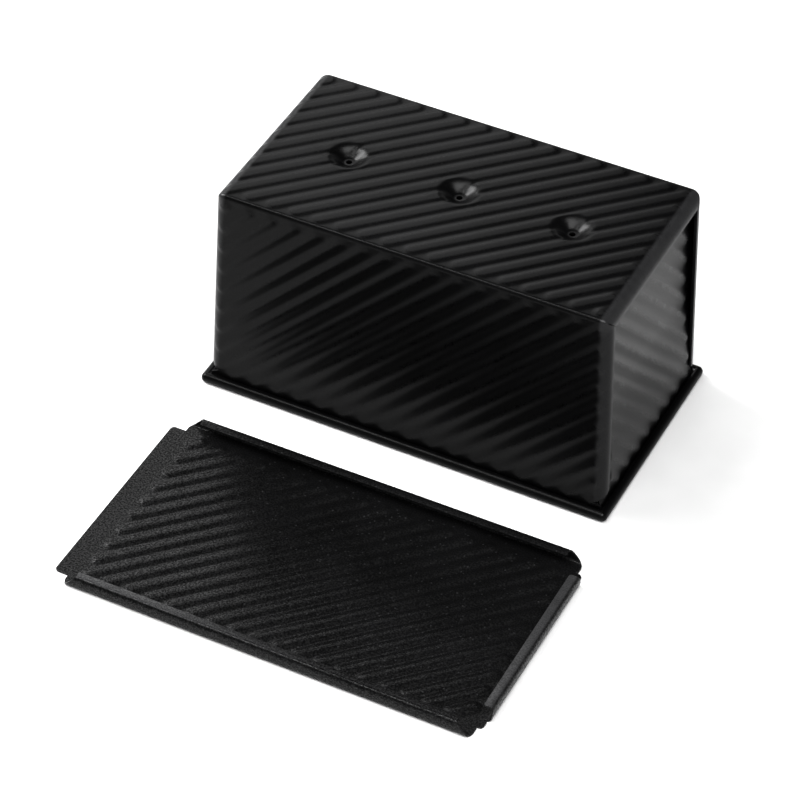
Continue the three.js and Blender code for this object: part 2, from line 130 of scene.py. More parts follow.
def thick_sheet(name, grids, at, painted_sheen=None):
    points, quads = weld(grids)
    count = len(points)
    a, b, c, d = (points[quads[:, i]] for i in range(4))
    facing = np.cross(c - a, d - b)
    out = gathered(count, quads.reshape(-1), np.repeat(facing, 4, axis=0))
    out /= np.linalg.norm(out, axis=1, keepdims=True)

    edges = np.concatenate([quads[:, [i, (i + 1) % 4]] for i in range(4)])
    ways = edges[:, 0] * count + edges[:, 1]
    others = edges[:, 1] * count + edges[:, 0]
    rim = edges[~np.isin(ways, others)]
    strip = np.stack([rim[:, 1], rim[:, 0], rim[:, 0] + count, rim[:, 1] + count], axis=-1)
    faces = np.concatenate([quads, quads[:, ::-1] + count, strip])

    ends, tips = edges[:, 0], points[edges[:, 1]]
    around = gathered(count, ends, tips) / np.bincount(ends, minlength=count)[:, None]
    crest = np.einsum("ij,ij->i", points - around, out)
    cut = np.zeros(count)
    cut[rim.reshape(-1)] = 1

    mesh = bpy.data.meshes.new(name)
    both = np.concatenate([points, points - out * SHEET])
    mesh.from_pydata(((both + at) * MM).tolist(), [], faces.tolist())
    mesh.shade_smooth()
    mesh.set_sharp_from_angle(angle=SHARP_ANGLE)
    painted_sheen_mark = painted_sheen(points) if painted_sheen else np.zeros(count)
    marks = {
        "cut_edge": np.tile(cut, 2),
        "crest": np.concatenate([crest, -crest]),
        "painted_sheen_mark": np.tile(painted_sheen_mark, 2),
    }
    for label, values in marks.items():
        attribute = mesh.attributes.new(label, "FLOAT", "POINT")
        attribute.data.foreach_set("value", values.astype(np.float32))
    piece = bpy.data.objects.new(name, mesh)
    scene.collection.objects.link(piece)
    print(name, len(faces), "faces")
    return piece


# %% [markdown]
# The ribs run at 45 degrees over the base, the walls, the ends and the lid. They could be bars joined on
# with booleans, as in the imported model, but pressed sheet has no sharp corners. Here a rib is a height
# over the panel: full on its crown, falling smoothly to the groove beside it, and round at both ends. The
# flat share of a crown differs: base and lid have broad crowns with narrow grooves, and the walls and ends
# have an even wave. The grids step by a whole fraction of the rib spacing along each axis, so every rib is
# sampled the same way.

# %% Pressed ribs
RIB_PITCH = 8.3
LID_RIB_PITCH = 7.6
BASE_RIB, WALL_RIB, END_RIB, LID_RIB = 0.47, 0.6, 0.85, 0.62
BASE_FLAT, WALL_FLAT, END_FLAT, LID_FLAT = 0.4, 0.0, 0.0, 0.3
TIP_SLOPE, TIP_INSET = 1.1, 0.9
BASE_PHASE, WALL_PHASE, END_PHASE, LID_PHASE = 0.0, 0.5, 0.78, 0.0
SAMPLES = 10
FAR = 1e6
STEP = RIB_PITCH * math.sqrt(2) / SAMPLES
LID_STEP = LID_RIB_PITCH * math.sqrt(2) / SAMPLES


def ease(low, high, value):
    t = np.clip((value - low) / (high - low), 0, 1)
    return t * t * (3 - 2 * t)


def ribs(u, v, way, pitch, phase, field, flat):
    along = np.array([1, way]) / math.sqrt(2)
    across = np.array([-way, 1]) / math.sqrt(2)
    travel = u * along[0] + v * along[1]
    offset = u * across[0] + v * across[1]
    crown = (np.floor(offset / pitch - phase + 0.5) + phase) * pitch
    low, high = np.full(u.shape, -FAR), np.full(u.shape, FAR)
    for p, q in zip(field, field[1:] + field[:1]):
        edge = np.subtract(q, p)
        depth = edge[0] * (crown * across[1] - p[1]) - edge[1] * (crown * across[0] - p[0])
        rate = edge[0] * along[1] - edge[1] * along[0]
        if rate > 0:
            low = np.maximum(low, -depth / rate)
        else:
            high = np.minimum(high, -depth / rate)
    half = 0.5 * pitch
    low, high = low + TIP_INSET * half, high - TIP_INSET * half
    past = np.maximum(np.maximum(low - travel, travel - high), 0)
    away = np.hypot(offset - crown, TIP_SLOPE * past) / half
    return np.where(high > low, 1 - ease(flat, 1.0, away), 0)


print("rib grid steps", round(STEP, 3), round(LID_STEP, 3))

# %% [markdown]
# The pan body is one sheet: base, two long walls, and the rim rolled outwards over a wire. The walls lean
# out a little towards the rim. These are the sizes of the drawing, and the half width and end of the body
# at any height follow from them.

# %% Pan sizes
HALF_LENGTH, HALF_WIDTH, PAN_HEIGHT = 106.5, 59.3, 114.5
BEAD_R = 2.5
ROLL_R = BEAD_R - SHEET
SIDE_FLARE, END_FLARE, END_SETBACK = 1.8, 4.3, 2.9
FOLD_RADIUS = 2.0
HEM_RADIUS, HEM_TAIL, HEM_START, NOTCH_Z = 5.5, 1.0, 8.0, 5.75
RIM_WALL = HALF_WIDTH - 2 * BEAD_R + SHEET
BASE_HALF = RIM_WALL - SIDE_FLARE
AXIS_X, AXIS_Y = HALF_LENGTH - BEAD_R, HALF_WIDTH - BEAD_R
MITRE = 0.12


def between(z, at_rim, at_base):
    return at_rim + (at_base - at_rim) * (z - BEAD_R) / (PAN_HEIGHT - BEAD_R)


def wall_half(z):
    return between(z, RIM_WALL, BASE_HALF)


def bend_x(z):
    end = HALF_LENGTH - END_SETBACK
    return between(z, end, end - END_FLARE) - HEM_RADIUS


START_COLUMNS = 5


def columns(inner, end, count=START_COLUMNS):
    edge = inner[-1] + (end[:, None] - inner[-1]) * np.linspace(0, 1, count)[None, 1:]
    return np.concatenate([-edge[:, ::-1], np.tile(inner, (len(end), 1)), edge], axis=1)


def grid_of(x, y, z):
    return np.stack(np.broadcast_arrays(x, y, z), axis=-1)


def turned(grid):
    return grid * np.array([-1, -1, 1])


print("base", round(2 * bend_x(PAN_HEIGHT) + 2 * HEM_RADIUS, 1), "by", round(2 * BASE_HALF, 1), "mm")

# %% [markdown]
# The long walls' ribs run from just above the rim to just under the fold, and a little way into the hems.
# The field that holds them could be painted as a weight map; four corners say the same and stay exact.

# %% Ribs of the long walls
WALL_RIB_RUN, WALL_RIB_FOOT, WALL_RIB_TOP = 3.0, 3.4, 2.6
lean = math.atan2(SIDE_FLARE, PAN_HEIGHT - BEAD_R)


def panel_field(foot, top, half_at):
    low_half, high_half = half_at(foot), half_at(PAN_HEIGHT - top)
    low, high = foot - PAN_HEIGHT, -top
    return [(-low_half, low), (low_half, low), (high_half, high), (-high_half, high)]


wall_field = panel_field(WALL_RIB_FOOT, WALL_RIB_TOP, lambda z: bend_x(z) + WALL_RIB_RUN)


def wall_lift(x, z):
    drop = (z - PAN_HEIGHT) / math.cos(lean)
    return WALL_RIB * ribs(x, drop, 1, RIB_PITCH, WALL_PHASE, wall_field, WALL_FLAT)


def ribbed_wall(x, y, z):
    lift = wall_lift(x, z)
    return grid_of(x, y - lift * math.cos(lean), z + lift * math.sin(lean))


print("wall ribs between", wall_field[0], "and", wall_field[2])

# %% [markdown]
# The rolled rim is the sheet's edge turned round a wire. A tube swept round the pan would look alike from
# afar, but the real roll is open along its edge and mitred at the corners. Seen from the wire's axis each
# point of the roll has a reach outwards and a height. Straight stretches end at the mitre, and on the
# outside of a corner the roll turns round the wire like the end of a capsule.

# %% Rolled rim
ROLL_TURN = math.radians(294)
ROLL_STEPS = 26
CORNER_STEPS = 5
EDGE_COLUMNS = START_COLUMNS + CORNER_STEPS
STRAIGHT_END, INNER_END = 1.9, 1.4
WALL_COLUMNS, RISE_ROWS, NOTCH_MIDDLE = 77, 4, 6.6


def roll_section():
    angle = -ROLL_TURN * (1 - np.arange(ROLL_STEPS + 1) / ROLL_STEPS)
    return -ROLL_R * np.cos(angle), BEAD_R + ROLL_R * np.sin(angle)


def roll_ends(reach, axis_along, axis_out):
    turn = np.linspace(0, math.pi / 4, CORNER_STEPS)[None, :]
    reach = reach[:, None]
    stop = axis_along + reach - INNER_END * np.linspace(1, 0, CORNER_STEPS)[None, :] - MITRE
    along = np.where(reach > 0, axis_along + reach * np.sin(turn) - MITRE, stop)
    out = np.where(reach > 0, axis_out + reach * np.cos(turn), axis_out + reach)
    return along, out


def rolled_rim(inner, axis_along, axis_out):
    reach, z = roll_section()
    start = axis_along + np.minimum(reach, 0) - STRAIGHT_END
    along = columns(inner, start)
    out = np.repeat((axis_out + reach)[:, None], along.shape[1], axis=1)
    far_along, far_out = roll_ends(reach, axis_along, axis_out)
    along = np.concatenate([-far_along[:, ::-1], along, far_along], axis=1)
    out = np.concatenate([far_out[:, ::-1], out, far_out], axis=1)
    return along, out, np.repeat(z[:, None], along.shape[1], axis=1)


inner_x = STEP * np.arange(-WALL_COLUMNS, WALL_COLUMNS + 1)
rim_along, rim_out, rim_z = rolled_rim(inner_x, AXIS_X, AXIS_Y)
front_rim = grid_of(rim_along, -rim_out, rim_z)

rise_z = np.concatenate([np.linspace(BEAD_R, NOTCH_Z, RISE_ROWS), [NOTCH_MIDDLE, HEM_START]])
notch_x = AXIS_X - ROLL_R - MITRE
rise_x = np.interp(rise_z, [NOTCH_Z, HEM_START], [notch_x, bend_x(HEM_START)])
x = columns(inner_x, rise_x, EDGE_COLUMNS)
x[0] = rim_along[-1]
front_rise = ribbed_wall(x, -wall_half(rise_z)[:, None], rise_z[:, None])
print("front rim", front_rim.shape, "rise", front_rise.shape)

# %% [markdown]
# Above the rim the long wall is a ribbed panel, and at both ends the sheet is curled inwards to a hem that
# clasps the end panel. The hem could be a separate bent strip, but it is the same sheet, so its
# columns simply go on from the wall's. A curl stage is how far the sheet has turned inwards and how
# far it reaches past the bend line. The foot of the hem is cut aslant.

# %% Long walls and their hems
HEM_STEPS = 12
HEM_TURNS = np.radians(90) * np.arange(1, HEM_STEPS + 1) / HEM_STEPS
hem_inset = np.append(HEM_RADIUS * (1 - np.cos(HEM_TURNS)), HEM_RADIUS + HEM_TAIL)
hem_reach = np.append(HEM_RADIUS * np.sin(HEM_TURNS), HEM_RADIUS)
HEM_STAGES = np.append(HEM_TURNS, math.pi / 2)
FOOT_RISE = 0.6
MITRE_FOLD = 0.3
ROW_GAP = 0.3
WALL_ROWS = 90


def fold_radius(inset):
    return np.maximum(FOLD_RADIUS - inset, MITRE_FOLD)


def leg(t, inset, reach_past):
    foot = HEM_START + FOOT_RISE * inset
    top = PAN_HEIGHT - inset - fold_radius(inset)
    z = foot + t * (top - foot)
    y = wall_half(foot) + t * (BASE_HALF - wall_half(foot)) - inset
    return bend_x(z) + reach_past, -y, z


def panel_rows(foot, top, tilt):
    z = PAN_HEIGHT - STEP * np.arange(WALL_ROWS, 0, -1) * math.cos(tilt)
    return np.concatenate([[foot], z[(z > foot + ROW_GAP) & (z < top - ROW_GAP)], [top]])


wall_top = PAN_HEIGHT - FOLD_RADIUS
wall_z = panel_rows(HEM_START, wall_top, lean)
t = (wall_z - HEM_START) / (wall_top - HEM_START)

x = columns(inner_x, bend_x(wall_z), EDGE_COLUMNS)
panel = ribbed_wall(x, leg(t, 0, 0)[1][:, None], wall_z[:, None])


def wall_hem(side):
    stages = []
    for turn, inset, reach_past in zip(HEM_STAGES, hem_inset, hem_reach):
        x, y, z = leg(t, inset, reach_past)
        lift = wall_lift(side * (bend_x(wall_z) + HEM_RADIUS * turn), wall_z)
        stages.append(grid_of(side * (x + lift * math.sin(turn)), y - lift * math.cos(turn), z))
    return np.stack(stages, axis=1)


front_wall = np.concatenate([wall_hem(-1)[:, ::-1], panel, wall_hem(1)], axis=1)
print("front wall", front_wall.shape)

# %% [markdown]
# The base folds into the long walls with a small radius. Past the middle of the hem's curl the folded
# corner is slit, because sheet can't be turned inwards round a corner without a cut: those grid cells are
# left out, and the wall's hem and the base's hem stand a hair apart.

# %% Folds and base
FOLD_STEPS = 6
SOFT_HEM = 6
BASE_ROWS = 43


def fold(angle, inset, reach_past):
    radius = fold_radius(inset)
    y = BASE_HALF - inset - radius + radius * np.cos(angle)
    z = PAN_HEIGHT - inset - radius + radius * np.sin(angle)
    return bend_x(z) + reach_past, -y, z


angle = np.linspace(0, math.pi / 2, FOLD_STEPS + 1)
end, y, z = fold(angle, 0, 0)
panel = grid_of(columns(inner_x, end, EDGE_COLUMNS), y[:, None], z[:, None])
panel[0] = front_wall[-1, len(hem_inset):-len(hem_inset)]
soft = zip(hem_inset[:SOFT_HEM], hem_reach[:SOFT_HEM])
hem = np.stack([grid_of(*fold(angle, i, r)) for i, r in soft], axis=1)
front_fold = np.concatenate([(hem * np.array([-1, 1, 1]))[:, ::-1], panel, hem], axis=1)

base_edge = BASE_HALF - FOLD_RADIUS
whole = STEP * np.arange(-BASE_ROWS, BASE_ROWS + 1)
base_y = np.concatenate([[-base_edge], whole[np.abs(whole) < base_edge - ROW_GAP], [base_edge]])
base_x = columns(inner_x, np.full(len(base_y), bend_x(PAN_HEIGHT)), EDGE_COLUMNS)
print("fold", front_fold.shape, "base", base_x.shape)

# %% [markdown]
# Three round vents are dished into the base, each with a small hole. A boolean would leave ragged faces
# along the ribs. Instead a square of the base grid is taken out round each vent, and rings of points
# run from the square's own edge to the hole, on the same height function as the base, so the ribs
# fade softly into the dish. The dish's depth is the sum of a slope that eases in from the flat floor round
# the hole and out again at the brim. The base's ribs run on round the left hem, and stop at the right one.

# %% Base with its vents
VENT_X = (-57.1, 0.0, 57.1)
VENT_HOLE, VENT_SLOPE = 1.5, 0.58
DISH_FLOOR, DISH_BRIM, RIB_FADE = (2.0, 3.8), (11.6, 6.4), (2.6, 10.6)
VENT_CELLS, NEAR_RINGS = 10, 4
VENT_RINGS = (10.9, 10.4, 9.9, 9.4, 8.9, 8.3, 7.6, 6.9, 6.2, 5.5, 4.8, 4.2, 3.6, 3.0, 2.3, VENT_HOLE)
LEFT_RUN, RIGHT_RUN, BASE_MARGIN = 3.8, 1.8, 2.4
dish_r = np.linspace(0, 12, 241)
dish_slope = VENT_SLOPE * ease(*DISH_FLOOR, dish_r) * ease(*DISH_BRIM, dish_r)
dish_z = np.cumsum(dish_slope) * (dish_r[1] - dish_r[0])
dish_z -= dish_z[-1]
left_x, right_x = -bend_x(PAN_HEIGHT) - LEFT_RUN, bend_x(PAN_HEIGHT) + RIGHT_RUN
field_y = BASE_HALF - BASE_MARGIN
base_field = [(left_x, -field_y), (right_x, -field_y), (right_x, field_y), (left_x, field_y)]


def base_height(x, y):
    height = BASE_RIB * ribs(x, y, 1, RIB_PITCH, BASE_PHASE, base_field, BASE_FLAT)
    for vent in VENT_X:
        r = np.hypot(x - vent, y)
        height = height * ease(*RIB_FADE, r) + np.interp(r, dish_r, dish_z)
    return height


panel = grid_of(base_x, base_y[:, None], PAN_HEIGHT + base_height(base_x, base_y[:, None]))
scale = (BASE_HALF - hem_inset - fold_radius(hem_inset)) / base_edge
hem_z = PAN_HEIGHT - hem_inset


def base_hem(side):
    x, y = np.meshgrid(side * (bend_x(PAN_HEIGHT) + HEM_RADIUS * HEM_STAGES), base_y)
    lift = base_height(x, y)
    x = side * (bend_x(hem_z) + hem_reach + lift * np.sin(HEM_STAGES))
    return grid_of(x, base_y[:, None] * scale[None, :], hem_z + lift * np.cos(HEM_STAGES))


base = np.concatenate([base_hem(-1)[:, ::-1], panel, base_hem(1)], axis=1)
keep = np.ones((base.shape[0] - 1, base.shape[1] - 1), bool)
vents = []
for vent in VENT_X:
    row = int(np.argmin(np.abs(base_y)))
    column = len(hem_inset) + int(np.argmin(np.abs(base_x[0] - vent)))
    r0, r1, c0, c1 = row - VENT_CELLS, row + VENT_CELLS, column - VENT_CELLS, column + VENT_CELLS
    keep[r0:r1, c0:c1] = False
    border = np.concatenate([base[r0, c0:c1], base[r0:r1, c1], base[r1, c1:c0:-1], base[r1:r0:-1, c0],
                             base[r0:r0 + 1, c0]])
    spoke = np.arctan2(border[:, 1], border[:, 0] - vent)
    reach = np.hypot(border[:, 0] - vent, border[:, 1])
    near = reach + (VENT_RINGS[0] - reach) * np.linspace(0, 1, NEAR_RINGS + 2)[1:-1, None]
    ring = np.concatenate([near, np.repeat(np.array(VENT_RINGS)[:, None], len(reach), axis=1)])
    x, y = vent + ring * np.cos(spoke), ring * np.sin(spoke)
    rings = grid_of(x, y, PAN_HEIGHT + base_height(x, y))
    vents.append((np.concatenate([border[None], rings]), None))
print("vents", len(vents), "with", len(VENT_RINGS), "rings")

# %% [markdown]
# The back of the pan is the front turned half round, so only the front's grids were drawn. The hems carry
# a painted sheen: a paler colour where they face the light. A painted mask could say so, but the hems are
# known by their place: past the bend line, and more so along the base than down the walls.

# %% Pan body
HEM_SHEEN, BASE_SHEEN, WALL_SHEEN = (-0.4, 1.4), (8.0, 4.0), 0.4
front = [front_rim, front_rise, front_wall, front_fold]
grids = [(grid, None) for grid in front] + [(turned(grid), None) for grid in front]


# Painted sheen: the hems are painted paler past the bend line, most on the upward-facing base, as if lit.
def painted_hem_sheen(points):
    past_bend = np.abs(points[:, 0]) - bend_x(points[:, 2])
    on_base = ease(*BASE_SHEEN, PAN_HEIGHT - points[:, 2])
    above_rim = ease(NOTCH_Z, HEM_START, points[:, 2])
    return ease(*HEM_SHEEN, past_bend) * above_rim * (WALL_SHEEN + (1 - WALL_SHEEN) * on_base)


pan_body = thick_sheet("pan_body_sheet", grids + [(base, keep)] + vents, PAN_AT, painted_hem_sheen)

# %% [markdown]
# The end panels are separate pressings, set back inside the hems. Each has its own stretch of rolled rim,
# swings in above it, and ends on three sides in a flange that hooks into the hem. Its ribs run down to the
# rim, and its foot settles outwards towards the rim, so there is no step above the roll. The right one is
# drawn, and the left one is the same grids turned half round.

# %% End panel sizes and ribs
END_RECESS, END_MARGIN, END_RIB_FOOT = 3.6, 7.2, 4.5
END_SETTLE, SETTLE_HEIGHTS, SETTLE_INSET = 2.4, (60, 14), 6.5
FLARE_TOP, HOOK_GAP, FLANGE_STEPS = 9.0, 0.3, 7
FLANGE_R = HEM_RADIUS - 2 * SHEET - HOOK_GAP
face_reach = HEM_RADIUS - END_RECESS
flange_turns = np.linspace(math.asin(face_reach / FLANGE_R), math.pi / 2, FLANGE_STEPS)
flange_inset = HEM_RADIUS - FLANGE_R * np.cos(flange_turns)
flange_reach = FLANGE_R * np.sin(flange_turns)
end_lean = math.atan2(END_FLARE, PAN_HEIGHT - BEAD_R)
end_field = panel_field(END_RIB_FOOT, END_MARGIN, lambda z: wall_half(z) - END_MARGIN)


def end_face(y, z):
    inset = wall_half(z) - np.abs(y)
    settle = END_SETTLE * ease(*SETTLE_HEIGHTS, z) * ease(flange_inset[0], SETTLE_INSET, inset)
    return bend_x(z) + face_reach + settle


def ribbed_end(x, y, z):
    drop = (z - PAN_HEIGHT) / math.cos(end_lean)
    lift = END_RIB * ribs(y, drop, -1, RIB_PITCH, END_PHASE, end_field, END_FLAT)
    return grid_of(x + lift * math.cos(end_lean), y, z + lift * math.sin(end_lean))


print("end face", round(face_reach, 2), "mm past the bend line, flange radius", round(FLANGE_R, 2))

# %% End panels
END_COLUMNS, SWING_ROWS, SWING_EASE = 40, 8, (0.5, 0.8)
inner_y = STEP * np.arange(-END_COLUMNS, END_COLUMNS + 1)
end_along, end_out, end_z = rolled_rim(inner_y, AXIS_Y, AXIS_X)
end_rim = grid_of(end_out, end_along, end_z)

swing_z = np.linspace(BEAD_R, FLARE_TOP, SWING_ROWS)
swing = ease(BEAD_R + SWING_EASE[0], FLARE_TOP + SWING_EASE[1], swing_z)[:, None]
swing[-1] = 1
swing_ends = [AXIS_Y - ROLL_R - MITRE, wall_half(FLARE_TOP) - flange_inset[0]]
swing_end = np.interp(swing_z, [BEAD_R, FLARE_TOP], swing_ends)
y = columns(inner_y, swing_end, EDGE_COLUMNS)
y[0] = end_along[-1]
foot_x = (AXIS_X - ROLL_R) * (1 - swing) + end_face(y, FLARE_TOP) * swing
end_swing = ribbed_end(foot_x, y, swing_z[:, None])

plate_top = PAN_HEIGHT - flange_inset[0]
plate_z = panel_rows(FLARE_TOP, plate_top, end_lean)
y = columns(inner_y, wall_half(plate_z) - flange_inset[0], EDGE_COLUMNS)
panel = ribbed_end(end_face(y, plate_z[:, None]), y, plate_z[:, None])
t = (plate_z - FLARE_TOP) / (plate_top - FLARE_TOP)
hooks = []
for inset, reach in zip(flange_inset[1:], flange_reach[1:]):
    z = FLARE_TOP + FOOT_RISE * inset + t * (PAN_HEIGHT - inset - FLARE_TOP - FOOT_RISE * inset)
    hooks.append(grid_of(bend_x(z) + reach, wall_half(z) - inset, z))
hook = np.stack(hooks, axis=1)
end_plate = np.concatenate([(hook * np.array([1, -1, 1]))[:, ::-1], panel, hook], axis=1)
hook_z = PAN_HEIGHT - flange_inset
width = (wall_half(hook_z) - flange_inset) / (wall_half(plate_top) - flange_inset[0])
hook_x = bend_x(hook_z) + flange_reach
end_hook = grid_of(hook_x[:, None], y[-1][None, :] * width[:, None], hook_z[:, None])
end_grids = [end_rim, end_swing, end_plate, end_hook]
right_end = thick_sheet("right_end_sheet", [(grid, None) for grid in end_grids], PAN_AT)
left_end = thick_sheet("left_end_sheet", [(turned(grid), None) for grid in end_grids], PAN_AT)

# %% [markdown]
# The lid is one flat sheet with ribs, a tongue at its open end, and its other three edges curled into
# channels that slide over the pan's rolled rim. The plate could be cut from a larger sheet with booleans.
# Here it is one grid with the cells outside its outline left out, so the channels can go on from its rows.

# %% Lid plate
LID_CLEARANCE = 0.35
CHANNEL_R = BEAD_R + LID_CLEARANCE
LID_SIDE = AXIS_Y
LID_BEND = AXIS_X
LID_LEFT, TAB_END = -107.7, -100.4
FOOT_END, EAR_END = LID_BEND - 0.5, LID_BEND + 2.0
TONGUE_HALF, EAR_HALF, EAR_STOP, END_HALF = LID_SIDE - 2.6, LID_SIDE - 4.1, 48.0, 47.7
LID_SHIFT, LID_CORNER = 0.025, 2
LID_COLUMNS, LID_ROWS, LID_GAP = 96, 44, 0.4
LID_ORIGIN = LID_AT + np.array([LID_SHIFT, 0, 0])

tongue_u = [LID_LEFT, LID_LEFT + 0.6, LID_LEFT + 1.2, LID_LEFT + 2, -104.4, -103.1, -101.8, TAB_END]
whole = LID_STEP * np.arange(-LID_COLUMNS, LID_COLUMNS + 1)
middle_u = whole[(whole > TAB_END + LID_GAP) & (whole < FOOT_END - LID_GAP)]
ear_u = [FOOT_END, LID_BEND, LID_BEND + 0.7, LID_BEND + 1.4, EAR_END]
plate_u = np.concatenate([tongue_u, middle_u, ear_u])
side_v = [END_HALF, EAR_STOP, 49.4, EAR_HALF - LID_CORNER, EAR_HALF - 1.2, TONGUE_HALF - LID_CORNER, EAR_HALF,
          53.5, TONGUE_HALF, 55.5, LID_SIDE]
whole = LID_STEP * np.arange(-LID_ROWS, LID_ROWS + 1)
middle_v = whole[np.abs(whole) < END_HALF - LID_GAP]
plate_v = np.concatenate([-np.array(side_v)[::-1], middle_v, side_v])
u, v = np.meshgrid(plate_u, plate_v)
LID_MARGIN, LID_END_MARGIN = 4.5, 12.0
field_u, field_v = (LID_LEFT + LID_END_MARGIN, LID_BEND - LID_MARGIN), LID_SIDE - LID_MARGIN
lid_field = [(field_u[0], -field_v), (field_u[1], -field_v),
             (field_u[1], field_v), (field_u[0], field_v)]
lift = LID_RIB * ribs(u, v, 1, LID_RIB_PITCH, LID_PHASE, lid_field, LID_FLAT)


def rounded(u, v, corner_u, corner_v, radius):
    a = (u - corner_u + math.copysign(radius, corner_u)) / math.copysign(radius, corner_u)
    b = (v - corner_v + math.copysign(radius, corner_v)) / math.copysign(radius, corner_v)
    inside = (a > 0) & (b > 0) & (a <= 1.001) & (b <= 1.001)
    round_u = corner_u + math.copysign(radius, corner_u) * (a * np.sqrt(np.clip(1 - b * b / 2, 0, 1)) - 1)
    round_v = corner_v + math.copysign(radius, corner_v) * (b * np.sqrt(np.clip(1 - a * a / 2, 0, 1)) - 1)
    return np.where(inside, round_u, u), np.where(inside, round_v, v)


mid_u = (plate_u[:-1] + plate_u[1:])[None, :] / 2
mid_v = np.abs(plate_v[:-1] + plate_v[1:])[:, None] / 2
keep = np.where(mid_u < TAB_END, mid_v < TONGUE_HALF, True)
keep &= np.where(mid_u > FOOT_END, mid_v < EAR_HALF, True)
keep &= np.where(mid_u > LID_BEND, mid_v > EAR_STOP, True)
round_u, round_v = u, v
for side in (-1, 1):
    round_u, round_v = rounded(round_u, round_v, LID_LEFT, side * TONGUE_HALF, LID_CORNER)
    round_u, round_v = rounded(round_u, round_v, EAR_END, side * EAR_HALF, LID_CORNER)
lid_plate = grid_of(round_u, round_v, SHEET + lift)
print("lid plate", lid_plate.shape)

# %% [markdown]
# A channel is the plate's edge curled up and over, so that it can grip the bead. A half circle would be the
# plainest section, but the real lip is flatter on top. So the section is a rounded square, with more points
# where it turns, and the lip leans down a little. The ends slant in from foot to lip in an S. The tops of the
# lips get a painted sheen, a paler band where light would catch them: all along the end, and along the front
# growing towards the open end.

# %% Lid channels
LIP_GAP = 0.5
LIP = LID_SIDE - RIM_WALL - LIP_GAP
SQUARE, LIP_LEAN, LEAN_FROM = 0.5, math.tan(math.radians(9)), 0.7 * CHANNEL_R
CURL_POINTS, CURL_CROWD = 25, 2.2
LONG_SLANT, END_SLANT, LIP_CUTS = 8, 3, ((0.2,), (1.0,))
share = np.linspace(-1, 1, CURL_POINTS)
curl = math.pi / 2 * np.sign(share) * np.abs(share) ** CURL_CROWD
level = np.sign(curl) * np.abs(np.sin(curl)) ** SQUARE
curl_out = np.append(CHANNEL_R * np.abs(np.cos(curl)) ** SQUARE, [-LIP / 2, -LIP])
curl_z = np.append(CHANNEL_R * level, [CHANNEL_R, CHANNEL_R]) + CHANNEL_R + SHEET
curl_z -= np.where(curl_z > CHANNEL_R, LIP_LEAN * np.maximum(LEAN_FROM - curl_out, 0), 0)


def slanted(along, slant):
    share = np.clip((curl_z - SHEET) / (2 * CHANNEL_R), 0, 1)
    inset = slant * (0.5 - np.sin(np.arcsin(1 - 2 * share) / 3))[:, None]
    inset[-2:] += np.array(LIP_CUTS)
    middle, half = (along[0] + along[-1]) / 2, (along[-1] - along[0]) / 2
    return middle + (along[None, :] - middle) * (half - inset) / half


foot_u = plate_u[(plate_u > TAB_END - 0.01) & (plate_u < FOOT_END + 0.01)]
u = slanted(foot_u, LONG_SLANT)
back_channel = grid_of(u, (LID_SIDE + curl_out)[:, None], curl_z[:, None])
front_channel = grid_of(u, -(LID_SIDE + curl_out)[:, None], curl_z[:, None])[::-1]
end_v = plate_v[np.abs(plate_v) < END_HALF + 0.01]
v = slanted(end_v, END_SLANT)
end_channel = grid_of((LID_BEND + curl_out)[:, None], v, curl_z[:, None]).transpose(1, 0, 2)
channels = [(grid, None) for grid in (back_channel, front_channel, end_channel)]
lid_grids = [(lid_plate, keep)] + channels
print("lid channels", back_channel.shape, end_channel.shape)

# %% Lid
LIP_TOP, FRONT_LIP, END_LIP, FRONT_SHEEN = (1.4, 1.8), (2.4, 1.8), (2.5, 2.0), (40, -90)


# Painted sheen: the tops of the lips are painted paler, along the end and along the front towards the open
# end, as if lit.
def painted_lip_sheen(points):
    x, y, z = points.T
    top = ease(*LIP_TOP, (z - SHEET) / CHANNEL_R)
    on_end = (np.abs(y) < END_HALF + 0.1) & (x > LID_BEND - 2 * LIP)
    end = on_end * ease(*END_LIP, x - LID_BEND)
    front = (y < -EAR_HALF) * ease(*FRONT_SHEEN, x) * ease(*FRONT_LIP, -y - LID_SIDE)
    return top * np.maximum(end, front)


lid = thick_sheet("lid_sheet", lid_grids, LID_ORIGIN, painted_lip_sheen)

# %% [markdown]
# Each sheet moves with its body, stands for its imported node and names the finish it takes. Each one is
# parented to an empty for its body, and its imported node is hidden.

# %% Put the pieces on their bodies
for piece, body, node, slot in (
    (pan_body, "pan", "pan_body", "pan_coat"),
    (right_end, "pan", "right_end_panel", "pan_coat"),
    (left_end, "pan", "left_end_panel", "pan_coat"),
    (lid, "lid", "lid", "lid_coat"),
):
    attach(piece, body)
    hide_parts(node)
print("pieces on bodies")

# %% [markdown]
# The coat is a baked-on black non-stick finish. Close up it is not one black: it has a fine grain, a
# slightly uneven gloss and small pale specks. A noise texture could be built into each material, but the
# pan, the lid and the wire all need it, so it is a node group with its own values in each.

# %% Coat grain group


def new_group(name, inputs, outputs):
    group = bpy.data.node_groups.new(name, "ShaderNodeTree")
    for label, value in inputs:
        socket = group.interface.new_socket(label, in_out="INPUT", socket_type="NodeSocketFloat")
        socket.default_value = value
    for label in outputs:
        group.interface.new_socket(label, in_out="OUTPUT", socket_type="NodeSocketFloat")
    return group, group.nodes.new("NodeGroupInput"), group.nodes.new("NodeGroupOutput")


def math_node(tree, operation, first, second=None):
    node = tree.nodes.new("ShaderNodeMath")
    node.operation = operation
    for socket, value in zip(node.inputs, (first, second)):
        if isinstance(value, (int, float)):
            socket.default_value = value
        elif value is not None:
            tree.links.new(value, socket)
    return node.outputs[0]


def ramp(tree, value, low, high, to_low=0.0, to_high=1.0):
    node = tree.nodes.new("ShaderNodeMapRange")
    tree.links.new(value, node.inputs["Value"])
    for label, setting in (("From Min", low), ("From Max", high), ("To Min", to_low), ("To Max", to_high)):
        if isinstance(setting, (int, float)):
            node.inputs[label].default_value = setting
        else:
            tree.links.new(setting, node.inputs[label])
    return node.outputs["Result"]


